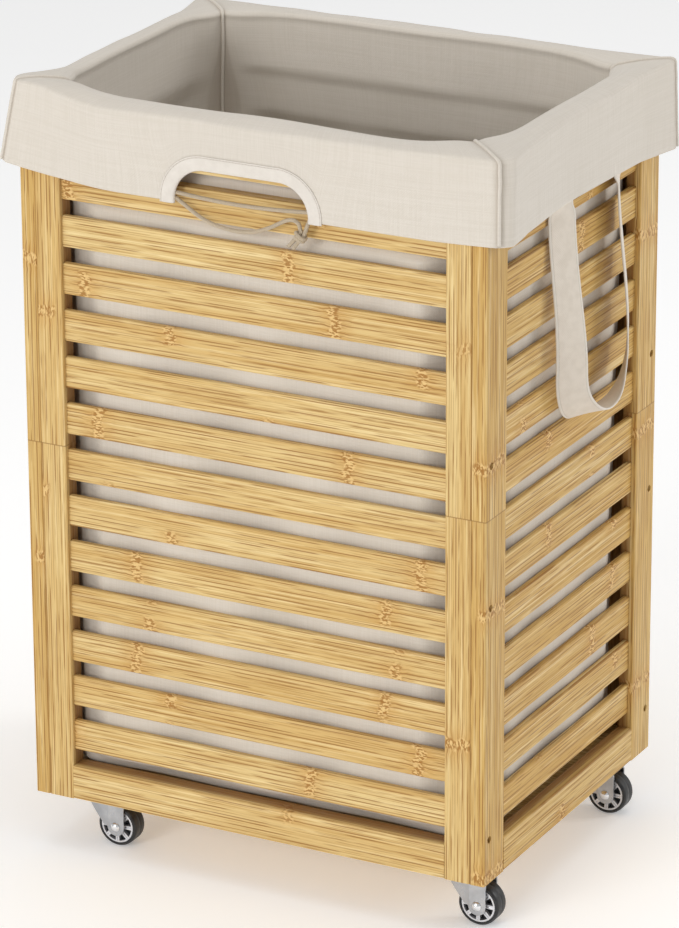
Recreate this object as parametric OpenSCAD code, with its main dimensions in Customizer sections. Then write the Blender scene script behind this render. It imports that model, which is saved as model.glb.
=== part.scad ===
// Slatted laundry hamper on four swivel casters, with a lift-out cloth liner.
// Millimetres, +Z up. The origin is on the floor under the middle of the frame.
// The front is -Y. Four flat panels make the frame: the front and back panels
// stand between the two side panels, and long screws join them at the corners.

/* [Frame] */
// Width over the two side panels
frame_w = 440; // [400:10:500]
// Depth over the front and back panels
frame_d = 336; // [300:6:390]
// Height of the frame alone, from its bottom edge to its rim
frame_h = 638; // [620:1:650]
// Thickness of the side panels' stiles and rails
side_t = 14; // [12:1:18]
// Thickness of the front and back panels' stiles and rails
front_t = 19; // [17:1:24]
// Width of the side panels' stiles
side_stile_w = 38; // [30:1:50]
// Width of the front and back panels' stiles
front_stile_w = 24; // [20:1:40]
// Height of the bottom rails
bottom_rail_h = 31.4; // [25:0.1:36]
// Rounding of every long wooden edge
edge_r = 1.5; // [0.5:0.1:2.5]

/* [Slats] */
// Slats in each panel
slat_count = 13; // [10:1:13]
// Height of a slat
slat_h = 28; // [20:0.5:28]
// Open gap between two slats
slat_gap = 14.1; // [8:0.1:14.1]
// Thickness of a slat
slat_t = 6; // [4:0.5:8]
// Thickness of the uppermost slat of the front and back, which hands hold
grip_slat_t = 12; // [8:0.5:14]
// How far the slats lie behind the panel's outer face
slat_recess = 4.5; // [2:0.5:6]
// How far a slat's end goes into its stile
mortise_depth = 6; // [3:0.5:9]

/* [Base] */
// Thickness of the two battens that carry the casters
batten_t = 18; // [15:1:20]
// Width of the two battens
batten_w = 50; // [44:1:70]
// Thickness of the bottom board
board_t = 5; // [3:1:8]

/* [Casters] */
// Height from the floor to the frame's bottom edge
caster_h = 52; // [52:1:60]
// Diameter of the tyre
wheel_d = 38; // [34:1:38]
// Width of the tyre
wheel_w = 18; // [14:1:18]
// How far the wheel's axle trails behind the swivel
trail = 22; // [20:1:22]
// Swivel's distance from the frame's side
swivel_inset_x = 42; // [42:1:60]
// Swivel's distance from the frame's front or back
swivel_inset_y = 38; // [38:1:60]

/* [Liner] */
// Thickness of the liner's cloth
cloth_t = 1.5; // [1:0.1:2]
// Room between the liner and the inside of the frame
liner_gap = 1; // [0.5:0.5:3]
// How far the cuff's outside stands off the frame's outside
cuff_out = 6; // [6:0.5:9]
// How high the fold stands over the rim
fold_h = 4.5; // [4:0.5:10]
// How far the cuff hangs down below the rim
cuff_drop = 70; // [60:1:80]
// Width of the hand opening cut into the cuff's hem
arch_w = 128; // [100:2:160]
// Height of the hand opening above the hem
arch_h = 31; // [28:1:36]
// Corner radius of the hand opening
arch_r = 29; // [20:1:29]
// Middle of the front hand opening, from the frame's middle
arch_x = -4; // [-10:1:10]
// Width of the band sewn round the hand opening
binding_w = 12; // [8:1:16]

/* [Straps and cords] */
// Width of the lifting straps
strap_w = 30; // [20:1:40]
// Thickness of the lifting straps
strap_t = 1.6; // [1:0.1:3]
// Distance between the middles of a strap's two ends
strap_spread = 112; // [90:2:140]
// How far a strap hangs below the hem
strap_drop = 208; // [150:2:240]
// Middle of the straps, from the frame's middle towards the back
strap_y = 20; // [-20:2:40]
// Diameter of the drawstrings
cord_d = 2.8; // [2:0.2:3]

/* [Hidden] */
$fn = 48;
CORNERS = ["front_left", "front_right", "back_left", "back_right"];
SIDES = ["left", "right"];
ENDS = ["front", "back"];

BAMBOO = [0.88, 0.72, 0.46];
CLOTH = [0.87, 0.84, 0.79];
STEEL = [0.75, 0.76, 0.78];
DARK = [0.12, 0.12, 0.13];
TWINE = [0.66, 0.55, 0.41];

half_w = frame_w / 2;
half_d = frame_d / 2;
rim_z = caster_h + frame_h;                        // top of the wooden rim
slat_pitch = slat_h + slat_gap;
first_slat_z = caster_h + bottom_rail_h + slat_gap;
top_rail_z = first_slat_z + slat_count * slat_pitch;
top_rail_h = rim_z - top_rail_z;
glue_gap = 0.1;                                    // glue gap round a slat's end

// Long screws: one column at each corner, level with the front or back panel's middle
screw_y = half_d - front_t / 2;
screw_zs = [for (z = [40.5, 251, 377, frame_h - 40.5]) caster_h + z];
screw_r = 2;
screw_head_r = 3.2;
screw_head_h = 3;
screw_shank = 24;                                  // length under the head, before the point
screw_tip = 2;
socket_r = 1.7;                                    // hexagon socket in the head
socket_depth = 2;
counterbore_depth = 8;
fit = 0.05;                                        // radial clearance of a hole for a screw or shaft

// Casters
swivel_x = half_w - swivel_inset_x;
swivel_y = half_d - swivel_inset_y;
wheel_r = wheel_d / 2;
plate_w = 38;
plate_t = 2;
hole_pitch = 29;
plate_hole_r = 1.9;
caster_screw_r = 1.5;
caster_screw_len = 14;
caster_screw_head_r = 2.9;
caster_screw_head_h = 2;
slot_w = 0.7;                                      // one slot of the screw's cross recess
race_r = 12;                                       // pressed ball race under the plate
race_h = 2.7;
kingpin_r = 4;
axle_r = 2.5;
bolt_head_r = 4.4;
rim_r = 16;                                        // radius where tyre and hub meet
tread_r = 2.8;                                     // rounding of the tyre's two edges
leg_gap = 10.2;                                    // middle plane of the fork to a leg's inside
leg_t = 1.6;

// Liner
wall_x = half_w - side_t - liner_gap;              // outside of the end walls
wall_y = half_d - front_t - liner_gap;             // outside of the long walls
liner_floor_z = caster_h + batten_t + board_t + 0.5;
hem_z = rim_z - cuff_drop;
hem_in = 0.4;                                      // inside of the hem tunnel, off the frame
tunnel_h = 22;
tunnel_skin = 0.9;
binding_t = 1.2;
cord_out = 2.9;                                    // cord's middle, off the frame
own_cord_z = hem_z + 3.2;                          // cord that is knotted at this opening
cross_cord_z = hem_z + 7.5;                        // cord that is knotted at the other one
cord_turn_r = 6;

// Front drawstring where it hangs free, from the opening's left edge to the knot
draw_route = [
    [-68, -170.9, 623.2], [-60, -171, 618.5], [-50, -171.4, 612.5], [-42, -171.8, 608.5],
    [-31, -172, 604.8], [-20, -172.2, 602.8], [-8, -172.3, 602], [4, -172.4, 603],
    [14, -172.4, 606], [24, -172.4, 610.5], [32, -172.5, 615], [39, -172.7, 618.4],
    [45, -173, 619.4], [50, -173.6, 617], [52, -174.2, 612]];
knot_at = [52, -175, 607];
knot_r = 6.5;

// Points of a circular arc about c, from angle a0 to a1
function arc(c, r, a0, a1, n = 5) =
    [for (i = [0:n]) let (a = a0 + (a1 - a0) * i / n) [c[0] + r * cos(a), c[1] + r * sin(a)]];

// Outline of a w by h rectangle in the first quadrant, with rounded corners
function round_rect(w, h, r) = concat(
    arc([w - r, h - r], r, 0, 90), arc([r, h - r], r, 90, 180),
    arc([r, r], r, 180, 270), arc([w - r, r], r, 270, 360));

// Wooden bars, each from its lowest corner: size = [x, y, z], rounded along its length
module bar_z(at, size) translate(at) linear_extrude(size[2])
    polygon(round_rect(size[0], size[1], edge_r));
module bar_x(at, size) translate(at) rotate([90, 0, 90]) linear_extrude(size[0])
    polygon(round_rect(size[1], size[2], edge_r));
module bar_y(at, size) translate(at + [0, size[1], 0]) rotate([90, 0, 0]) linear_extrude(size[1])
    polygon(round_rect(size[0], size[2], edge_r));

// Puts its children on the right side, or mirrored to the left one
module on_side(side) mirror([side == "left" ? 1 : 0, 0, 0]) children();
// Puts its children at the front, or turned round to the back
module on_end(end) rotate([0, 0, end == "back" ? 180 : 0]) children();

// ---- side panels, drawn on the right side ----

side_slat_x = half_w - slat_recess - slat_t;
side_open_y = half_d - side_stile_w;               // half the width of the side panel's opening

module long_screw_holes() for (z = screw_zs) {
    depth = counterbore_depth + screw_shank + screw_tip;
    translate([half_w - depth, 0, z]) rotate([0, 90, 0]) cylinder(r = screw_r + fit, h = depth + 1);
    translate([half_w - counterbore_depth, 0, z]) rotate([0, 90, 0])
        cylinder(r = screw_head_r + fit, h = counterbore_depth + 1);
}

// Stile at the back (+Y) corner of the right panel; the front one is its mirror image
module side_stile() color(BAMBOO) difference() {
    bar_z([half_w - side_t, side_open_y, caster_h], [side_t, side_stile_w, frame_h]);
    for (i = [0:slat_count - 1])
        translate([side_slat_x - glue_gap, side_open_y - 1, first_slat_z + i * slat_pitch - glue_gap])
            cube([slat_t + 2 * glue_gap, mortise_depth + 1 + glue_gap, slat_h + 2 * glue_gap]);
    translate([0, screw_y, 0]) long_screw_holes();
}

module side_rail(z, h) color(BAMBOO)
    bar_y([half_w - side_t, -side_open_y, z], [side_t, 2 * side_open_y, h]);

module side_slats() color(BAMBOO) for (i = [0:slat_count - 1])
    bar_y([side_slat_x, -side_open_y - mortise_depth, first_slat_z + i * slat_pitch],
        [slat_t, 2 * (side_open_y + mortise_depth), slat_h]);

// ---- front and back panels, drawn at the front ----

end_half_w = half_w - side_t;                      // the panel fits between the side panels
end_open_x = end_half_w - front_stile_w;           // half the width of its opening
front_slat_y = -half_d + slat_recess;

// Stile at the right of the front panel
module front_stile() color(BAMBOO) difference() {
    bar_z([end_open_x, -half_d, caster_h], [front_stile_w, front_t, frame_h]);
    for (i = [0:slat_count - 1]) let (t = i == slat_count - 1 ? grip_slat_t : slat_t)
        translate([end_open_x - 1, front_slat_y - glue_gap, first_slat_z + i * slat_pitch - glue_gap])
            cube([mortise_depth + 1 + glue_gap, t + 2 * glue_gap, slat_h + 2 * glue_gap]);
    translate([0, -screw_y, 0]) long_screw_holes();
}

module front_rail(z, h) color(BAMBOO)
    bar_x([-end_open_x, -half_d, z], [2 * end_open_x, front_t, h]);

module front_slat(i, t)
    bar_x([-end_open_x - mortise_depth, front_slat_y, first_slat_z + i * slat_pitch],
        [2 * (end_open_x + mortise_depth), t, slat_h]);

module front_slats() color(BAMBOO) for (i = [0:slat_count - 2]) front_slat(i, slat_t);

module grip_slats() color(BAMBOO) for (end = ENDS) on_end(end)
    front_slat(slat_count - 1, grip_slat_t);

// ---- base and fasteners ----

// Each caster plate is screwed up into a batten
module base_battens() color(BAMBOO) for (end = ENDS) on_end(end) difference() {
    bar_x([-end_half_w, -half_d + front_t, caster_h], [2 * end_half_w, batten_w, batten_t]);
    for (x = [-swivel_x, swivel_x]) translate([x, -swivel_y, caster_h - 1])
        at_plate_holes()
            cylinder(r = caster_screw_r + fit, h = 1 + caster_screw_len - plate_t, $fn = 24);
}

board_gap = 0.4;                                   // room round the board inside the frame
module base_board() color(BAMBOO) {
    w = 2 * (end_half_w - board_gap);
    d = frame_d - 2 * (front_t + board_gap);
    translate([-w / 2, -d / 2, caster_h + batten_t]) cube([w, d, board_t]);
}

// Socket-head screw along X, drawn pointing to -X with its head's top at x = 0
module long_screw() rotate([0, -90, 0]) difference() {
    union() {
        cylinder(r = screw_head_r, h = screw_head_h, $fn = 32);
        translate([0, 0, screw_head_h]) cylinder(r = screw_r, h = screw_shank, $fn = 24);
        translate([0, 0, screw_head_h + screw_shank])
            cylinder(r1 = screw_r, r2 = 0.4, h = screw_tip, $fn = 24);
    }
    translate([0, 0, -1]) cylinder(r = socket_r, h = 1 + socket_depth, $fn = 6);
}

module panel_screws() color(STEEL) for (side = SIDES) on_side(side)
    for (y = [-screw_y, screw_y]) for (z = screw_zs)
        translate([half_w - counterbore_depth + screw_head_h, y, z]) long_screw();

// ---- casters: each is drawn with its swivel on the z axis and the floor at z = 0 ----

module at_plate_holes() for (x = [-0.5, 0.5]) for (y = [-0.5, 0.5])
    translate([x * hole_pitch, y * hole_pitch, 0]) children();

module at_caster(corner) translate([
    (corner == "front_left" || corner == "back_left" ? -1 : 1) * swivel_x,
    (corner == "front_left" || corner == "front_right" ? -1 : 1) * swivel_y, 0]) children();

under_z = caster_h - plate_t;                      // underside of the plate
race_z = under_z - race_h;                         // underside of its ball race
crown_z = race_z - 5;                              // underside of the fork's crown
head_z = crown_z - 2.3;                            // underside of the kingpin's head

// Square plate with its pressed ball race and riveted kingpin, one for each corner
module caster_plates() color(STEEL) for (corner = CORNERS) at_caster(corner) difference() {
    union() {
        translate([-plate_w / 2, -plate_w / 2, under_z]) linear_extrude(plate_t)
            polygon(round_rect(plate_w, plate_w, 4));
        translate([0, 0, race_z]) cylinder(r = race_r, h = race_h);
        translate([0, 0, head_z]) cylinder(r = kingpin_r, h = race_z - head_z);
        translate([0, 0, head_z]) cylinder(r = 6, h = 2);
    }
    translate([0, 0, under_z - 1]) at_plate_holes()
        cylinder(r = plate_hole_r, h = plate_t + 2, $fn = 24);
}

module caster_screws() color(STEEL) for (corner = CORNERS) at_caster(corner)
    translate([0, 0, under_z - caster_screw_head_h]) at_plate_holes() difference() {
        union() {
            cylinder(r = caster_screw_head_r, h = caster_screw_head_h, $fn = 32);
            cylinder(r = caster_screw_r, h = caster_screw_len, $fn = 24);
        }
        for (a = [0, 90]) rotate(a) translate([-2, -slot_w / 2, -1]) cube([4, slot_w, 1.9]);
    }

// Side view of one leg: wide under the crown, swept back to the axle, straight up behind it
leg_r = 8.5;
leg_top = race_z - 1;
leg_outline = concat([[-10, leg_top], [-9, crown_z - 1]],
    arc([trail, wheel_r], leg_r, 208, 360, 10), [[trail + leg_r, crown_z - 4], [14, leg_top]]);

// The crown is a shallow cup round the ball race, 0.3 mm under it
cup_r = 14.5;
cup_wall = 1.9;

module fork() color(STEEL) difference() {
    union() {
        translate([0, 0, crown_z]) cylinder(r = cup_r, h = race_z - 0.3 - crown_z);
        translate([0, 0, crown_z]) difference() {
            cylinder(r = cup_r, h = 7);
            translate([0, 0, 2]) cylinder(r = cup_r - cup_wall, h = 6);
        }
        for (y = [-leg_gap - leg_t, leg_gap]) translate([0, y + leg_t, 0]) rotate([90, 0, 0])
            linear_extrude(leg_t) polygon(leg_outline);
    }
    translate([0, 0, crown_z - 1]) cylinder(r = kingpin_r + fit, h = 12);
    translate([trail, 20, wheel_r]) rotate([90, 0, 0]) cylinder(r = axle_r + fit, h = 40);
}

// Bolt through the wheel, with a domed head at the front and a nut at the back
module axle_bolt() color(STEEL) translate([trail, 0, wheel_r]) rotate([90, 0, 0]) {
    leg_out = leg_gap + leg_t;
    dome_r = 5.6;
    translate([0, 0, -leg_out - 4]) cylinder(r = axle_r, h = 2 * leg_out + 4.5);
    translate([0, 0, leg_out + 0.1]) intersection() {
        cylinder(r = bolt_head_r, h = 2.4);
        translate([0, 0, 2.4 - dome_r]) sphere(r = dome_r, $fn = 40);
    }
    translate([0, 0, -leg_out - 3.1]) cylinder(r = bolt_head_r, h = 3, $fn = 6);
}

// Pockets between the spokes, as sectors of a ring
spoke_count = 8;
spoke_w = 3.4;
rim_wall = 1.6;
boss_r = 7;
web_t = 5;                                         // solid disc behind the pockets
hub_w = 16.4;
module spoke_pockets() linear_extrude(hub_w / 2) difference() {
    circle(r = rim_r - rim_wall);
    circle(r = boss_r);
    for (i = [0:spoke_count - 1]) rotate(i * 360 / spoke_count)
        translate([0, -spoke_w / 2]) square([rim_r, spoke_w]);
}

module hub() color([0.82, 0.82, 0.84]) translate([trail, 0, wheel_r]) rotate([90, 0, 0]) difference() {
    union() {
        translate([0, 0, -hub_w / 2]) cylinder(r = rim_r, h = hub_w);
        translate([0, 0, -wheel_w / 2 - 0.3]) cylinder(r = boss_r - 1, h = wheel_w + 0.6);
    }
    translate([0, 0, -20]) cylinder(r = axle_r + fit, h = 40);
    for (m = [0, 1]) mirror([0, 0, m]) translate([0, 0, web_t / 2]) spoke_pockets();
}

module tyre() color(DARK) translate([trail, 0, wheel_r]) rotate([90, 0, 0]) {
    r = wheel_r - tread_r;
    z = wheel_w / 2 - tread_r;
    rotate_extrude($fn = 72) polygon(concat([[rim_r, -wheel_w / 2]], arc([r, -z], tread_r, -90, 0),
        arc([r, z], tread_r, 0, 90), [[rim_r, wheel_w / 2]]));
}

// ---- liner ----

module liner_long_walls() color(CLOTH) for (end = ENDS) on_end(end)
    translate([-wall_x, -wall_y, liner_floor_z + cloth_t])
        cube([2 * wall_x, cloth_t, rim_z - liner_floor_z - cloth_t]);

module liner_end_walls() color(CLOTH) for (side = SIDES) on_side(side)
    translate([wall_x - cloth_t, -wall_y + cloth_t, liner_floor_z + cloth_t])
        cube([cloth_t, 2 * (wall_y - cloth_t), rim_z - liner_floor_z - cloth_t]);

module liner_bottom() color(CLOTH) translate([-wall_x, -wall_y, liner_floor_z])
    cube([2 * wall_x, 2 * wall_y, cloth_t]);

// Cross-section of the cuff over a rail of thickness t: u is outward from the frame's
// outer face, v is the height. It rises from the liner wall, folds over and hangs down.
function fold_outline(t) = let (
    u_in = -t - liner_gap - cloth_t, top = rim_z + fold_h, ri = 4, ro = 6) concat(
    [[u_in, rim_z]],
    arc([u_in + ri, top - ri], ri, 180, 90),
    arc([cuff_out - ro, top - ro], ro, 90, 0),
    [[cuff_out, hem_z], [cuff_out - cloth_t, hem_z]],
    arc([cuff_out - ro, top - ro], ro - cloth_t, 0, 90),
    arc([u_in + ri, top - ri], ri - cloth_t, 90, 180),
    [[u_in + cloth_t, rim_z]]);

// The cuff along one face, drawn at the front of a frame of half width a and half depth b,
// over a rail of thickness t between end rails of thickness t_end: mitred at both ends
module cuff(a, b, t, t_end) {
    inner_a = a - t_end - liner_gap - cloth_t;
    inner_b = b - t - liner_gap - cloth_t;
    intersection() {
        translate([-a - 20, -b, 0]) rotate([90, 0, 90]) linear_extrude(2 * a + 40)
            mirror([1, 0]) polygon(fold_outline(t));
        linear_extrude(rim_z + 50) polygon([
            [-a - cuff_out, -b - cuff_out], [a + cuff_out, -b - cuff_out], [a, -b],
            [inner_a, -inner_b], [-inner_a, -inner_b], [-a, -b]]);
    }
    // Hem tunnel: an inner skin closed at its foot and its head, stopping short of the corners
    strip_a = a - 10;
    seam_h = 1.2;
    translate([-strip_a, -b - hem_in - tunnel_skin, hem_z]) cube([2 * strip_a, tunnel_skin, tunnel_h]);
    for (z = [hem_z, hem_z + tunnel_h - seam_h])
        translate([-strip_a, -b - cuff_out + cloth_t / 2, z])
            cube([2 * strip_a, cuff_out - cloth_t / 2 - hem_in, seam_h]);
}

// Outline of the hand opening, grown by g: straight feet, a flat top and round shoulders
function arch_outline(g = 0) = let (w = arch_w / 2 + g, h = arch_h + g, r = arch_r + g) concat(
    [[arch_x - w, hem_z - 5], [arch_x + w, hem_z - 5]],
    arc([arch_x + w - r, hem_z + h - r], r, 0, 90, 10),
    arc([arch_x - w + r, hem_z + h - r], r, 90, 180, 10));

module arch_prism(g, y0, depth) translate([0, y0 + depth, 0]) rotate([90, 0, 0])
    linear_extrude(depth) polygon(arch_outline(g));

module long_cuff() color(CLOTH) difference() {
    cuff(half_w, half_d, front_t, side_t);
    arch_prism(0, -half_d - 20, 20);
}

module end_cuff() color(CLOTH) rotate([0, 0, 90]) cuff(half_d, half_w, side_t, front_t);

// Band sewn round the hand opening, on the cuff's outside
module binding() color([0.92, 0.91, 0.89]) difference() {
    arch_prism(binding_w, -half_d - cuff_out - binding_t, binding_t);
    arch_prism(0, -half_d - 20, 30);
    translate([-arch_w, -half_d - 20, hem_z - 10]) cube([2 * arch_w, 30, 10]);
}

// ---- straps ----

strap_x = half_w + 3.5;                            // hinge line, under the hem
strap_top_z = hem_z - 3;
strap_steps = 44;
strap_swell = 13;                                  // how far the tape's middle swells outward
strap_turn = 62;                                   // how far its face turns there, in degrees
bend_r = strap_spread / 2;
leg_len = strap_drop - bend_r;
strap_len = 2 * leg_len + PI * bend_r;

// Middle of the tape at length s: down one leg, round a half circle, up the other leg,
// and swelling away from the frame towards the bottom
function strap_mid(s) = let (
    a = (s - leg_len) / bend_r * 180 / PI,
    yz = s < leg_len ? [-bend_r, -s] : s > strap_len - leg_len ? [bend_r, s - strap_len] :
        [-bend_r * cos(a), -leg_len - bend_r * sin(a)],
    out = strap_swell * pow(sin(180 * s / strap_len), 1.5))
    [strap_x + out, strap_y + yz[0], strap_top_z + yz[1]];

// Direction across the tape at length s, from its outer edge to its inner edge: it lies
// flat against the frame at the two ends and turns outward round the bend
function strap_across(s) = let (
    a = s < leg_len ? 0 : s > strap_len - leg_len ? 180 : (s - leg_len) / bend_r * 180 / PI,
    turn = strap_turn * pow(sin(180 * s / strap_len), 1.2))
    [sin(turn), cos(turn) * cos(a), cos(turn) * sin(a)];

function unit(v) = v / norm(v);

function strap_ring(s) = let (
    e = 0.5, along = unit(strap_mid(min(s + e, strap_len)) - strap_mid(max(s - e, 0))),
    w = strap_across(s) * strap_w / 2, n = unit(cross(along, w)) * strap_t / 2, m = strap_mid(s))
    [m + w + n, m - w + n, m - w - n, m + w - n];

// Closed skin over rings of k points each, in order along a path
module loft(rings) {
    k = len(rings[0]);
    n = len(rings);
    polyhedron(points = [for (r = rings) each r], faces = concat(
        [[for (j = [0:k - 1]) j]], [[for (j = [k - 1:-1:0]) (n - 1) * k + j]],
        [for (i = [0:n - 2]) for (j = [0:k - 1]) each
            [[i * k + j, (i + 1) * k + j, i * k + (j + 1) % k],
             [i * k + (j + 1) % k, (i + 1) * k + j, (i + 1) * k + (j + 1) % k]]]));
}

module strap() color(CLOTH) loft([for (i = [0:strap_steps]) strap_ring(strap_len * i / strap_steps)]);

// ---- drawstrings ----

// One drawstring in the hem tunnel at height z, open over x from x0 to x1 at the front
module hem_loop(z, x0, x1) {
    x = half_w + cord_out;
    y = half_d + cord_out;
    r = cord_turn_r;
    translate([x1, -y, z]) rotate([0, 90, 0]) cylinder(d = cord_d, h = x - r - x1, $fn = 24);
    translate([-x + r, -y, z]) rotate([0, 90, 0]) cylinder(d = cord_d, h = x - r + x0, $fn = 24);
    translate([-x + r, y, z]) rotate([0, 90, 0]) cylinder(d = cord_d, h = 2 * (x - r), $fn = 24);
    for (side = [-1, 1]) translate([side * x, y - r, z]) rotate([90, 0, 0])
        cylinder(d = cord_d, h = 2 * (y - r), $fn = 24);
    for (k = [0:3]) let (c = [[1, 1], [-1, 1], [-1, -1], [1, -1]][k])
        translate([c[0] * (x - r), c[1] * (y - r), z]) rotate([0, 0, 90 * k])
            rotate_extrude(angle = 90) translate([r, 0]) circle(d = cord_d, $fn = 24);
}

arch_x0 = arch_x - arch_w / 2;
arch_x1 = arch_x + arch_w / 2;

// Each cord is knotted at one opening and runs straight across the other
module hem_cords() color(TWINE) {
    hem_loop(own_cord_z, arch_x0, arch_x1);
    rotate([0, 0, 180]) hem_loop(cross_cord_z, arch_x0, arch_x1);
}

// Round tube of diameter d along a list of points
cord_sides = 8;
function tube_ring(route, i, d) = let (
    n = len(route), t = unit(route[min(i + 1, n - 1)] - route[max(i - 1, 0)]),
    u = unit(cross(t, [0, 1, 0])), v = cross(t, u))
    [for (j = [0:cord_sides - 1]) let (a = 360 * j / cord_sides)
        route[i] + d / 2 * (cos(a) * u + sin(a) * v)];

module draw_cord() color(TWINE)
    loft([for (i = [0:len(draw_route) - 1]) tube_ring(draw_route, i, cord_d)]);

// Straight piece of cord between two points
module cord_piece(from, to) let (v = to - from, l = norm(v))
    translate(from) rotate([0, acos(v[2] / l), atan2(v[1], v[0])]) cylinder(d = cord_d, h = l, $fn = 16);

// Overhand knot that holds both ends, its two tails, and the end that comes from the right
module knot() color(TWINE) {
    translate(knot_at) sphere(r = knot_r, $fn = 32);
    cord_piece(knot_at, knot_at + [-11, -2, -10]);
    cord_piece(knot_at, knot_at + [-4, -2.5, -13]);
    cord_piece(knot_at, [arch_x1, -half_d - cord_out, own_cord_z]);
}

// ---- all nodes ----

for (s = SIDES) {
    on_side(s) mirror([0, 1, 0]) side_stile();
    on_side(s) side_stile();
    on_side(s) side_rail(top_rail_z, top_rail_h);
    on_side(s) side_rail(caster_h, bottom_rail_h);
    on_side(s) side_slats();
    on_side(s) strap();
}
for (e = ENDS) {
    // Turning the back panel round swaps its left and right
    near = e == "front" ? "left" : "right";
    far = e == "front" ? "right" : "left";
    on_end(e) on_side(near) front_stile();
    on_end(e) on_side(far) front_stile();
    on_end(e) front_rail(top_rail_z, top_rail_h);
    on_end(e) front_rail(caster_h, bottom_rail_h);
    on_end(e) front_slats();
    on_end(e) long_cuff();
    on_end(e) binding();
    on_end(e) draw_cord();
    on_end(e) knot();
}
grip_slats();
base_battens();
base_board();
panel_screws();
caster_plates();
caster_screws();
for (c = CORNERS) {
    at_caster(c) fork();
    at_caster(c) axle_bolt();
    at_caster(c) hub();
    at_caster(c) tyre();
}
liner_long_walls();
liner_end_walls();
liner_bottom();
end_cuff();  // cuff_right
on_side("left") end_cuff();  // cuff_left
hem_cords();
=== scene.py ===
import math

import bpy
import numpy as np
from mathutils import Matrix, Vector


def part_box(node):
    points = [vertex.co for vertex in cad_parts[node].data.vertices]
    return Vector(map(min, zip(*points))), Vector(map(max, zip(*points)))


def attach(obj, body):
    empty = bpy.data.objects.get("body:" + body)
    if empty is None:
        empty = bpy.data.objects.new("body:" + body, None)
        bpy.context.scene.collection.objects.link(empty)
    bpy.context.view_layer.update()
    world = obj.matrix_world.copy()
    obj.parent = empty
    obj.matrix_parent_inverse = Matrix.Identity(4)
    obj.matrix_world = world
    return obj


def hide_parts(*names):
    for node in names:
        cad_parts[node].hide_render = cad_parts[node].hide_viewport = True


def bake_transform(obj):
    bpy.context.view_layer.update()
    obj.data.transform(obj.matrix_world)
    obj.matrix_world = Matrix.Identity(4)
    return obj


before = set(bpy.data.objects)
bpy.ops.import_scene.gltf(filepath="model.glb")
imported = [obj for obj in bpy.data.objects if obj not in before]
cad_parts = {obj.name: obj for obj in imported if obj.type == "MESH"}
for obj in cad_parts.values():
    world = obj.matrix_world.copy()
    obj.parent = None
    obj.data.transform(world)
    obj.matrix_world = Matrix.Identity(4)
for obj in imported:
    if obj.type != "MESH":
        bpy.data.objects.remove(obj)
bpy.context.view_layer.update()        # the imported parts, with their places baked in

# ---------------------------------------------------------------------------------------
# Camera. It stands well back with a long lens, a little above the rim, and looks at the
# front and the right-hand side. Its aim is given from the underside of the wooden frame.

underside_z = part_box("left_front_stile")[0].z
turn, tilt, lean = (math.radians(a) for a in (27.819, 20.409, -0.274))
back = Vector((math.sin(turn) * math.cos(tilt), -math.cos(turn) * math.cos(tilt), math.sin(tilt)))
level_right = Vector((math.cos(turn), math.sin(turn), 0))
level_up = back.cross(level_right)
right = math.cos(lean) * level_right + math.sin(lean) * level_up
up = -math.sin(lean) * level_right + math.cos(lean) * level_up
aim = Vector((0, 0, underside_z)) - 0.004232 * level_right + 0.271087 * level_up

camera = bpy.data.objects.new("camera", bpy.data.cameras.new("camera"))
bpy.context.collection.objects.link(camera)
camera.data.lens = 195.2
camera.data.sensor_width = 36
camera.data.clip_end = 50
turned = Matrix((right, up, back)).transposed().to_4x4()
camera.matrix_world = Matrix.Translation(aim + 4.4885 * back) @ turned
bpy.context.scene.camera = camera

# ---------------------------------------------------------------------------------------
# Drawstrings. Two round cotton cords run in the tunnel of the cuff's hem. Each comes out at
# one hand opening, where its ends are tied in one overhand knot, and crosses the other one.

MM = 0.001
cord_diameter = 3.6 * MM
draw_route = MM * np.array([
    (-68, -170.9, 623.2), (-60, -171, 618.5), (-50, -171.4, 612.5), (-42, -171.8, 608.5),
    (-31, -172, 604.8), (-20, -172.2, 602.8), (-8, -172.3, 602), (4, -172.4, 603),
    (14, -172.4, 606), (24, -172.4, 610.5), (32, -172.5, 615), (39, -172.7, 618.4),
    (45, -173, 619.4), (50, -173.6, 617), (52, -174.2, 612)])
knot_at = MM * np.array((52, -175, 607))
opening_right = MM * np.array((60, -170.9, 623.2))
cross_left, cross_right = MM * np.array(((-68, -170.9, 627.5), (60, -170.9, 627.5)))


def add(tree, kind, *values, output=0, **named):
    """A new shader node. Values fill its open inputs in order, capitalised names fill the
    input of that name, and the other names are its settings. Gives one of its outputs."""
    node = tree.nodes.new("ShaderNode" + kind)
    for key, value in named.items():
        if not key[0].isupper():
            setattr(node, key, value)
    wanted = list(zip([s for s in node.inputs if s.enabled], values))
    wanted += [(next(s for s in node.inputs if s.enabled and s.name == key.replace("_", " ")), value)
               for key, value in named.items() if key[0].isupper()]
    for socket, value in wanted:
        if isinstance(value, bpy.types.NodeSocket):
            tree.links.new(value, socket)
        elif socket.type == "RGBA" and len(value) == 3:
            socket.default_value = (*value, 1)
        else:
            socket.default_value = value
    return [s for s in node.outputs if s.enabled][output]


def maths(tree, operation, *values):
    """One arithmetic step on numbers or sockets."""
    return add(tree, "Math", *values, operation=operation)


def times(tree, a, b):
    """a times b."""
    return maths(tree, "MULTIPLY", a, b)


def plus(tree, a, b):
    """a plus b."""
    return maths(tree, "ADD", a, b)


def minus(tree, a, b):
    """a minus b."""
    return maths(tree, "SUBTRACT", a, b)


def absolute(tree, a):
    """a without its sign."""
    return maths(tree, "ABSOLUTE", a)


def ramp(tree, value, low, high, start=0.0, end=1.0):
    """Rises smoothly from start to end while the value goes from low to high."""
    return add(tree, "MapRange", value, low, high, start, end, interpolation_type="SMOOTHSTEP")


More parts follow.
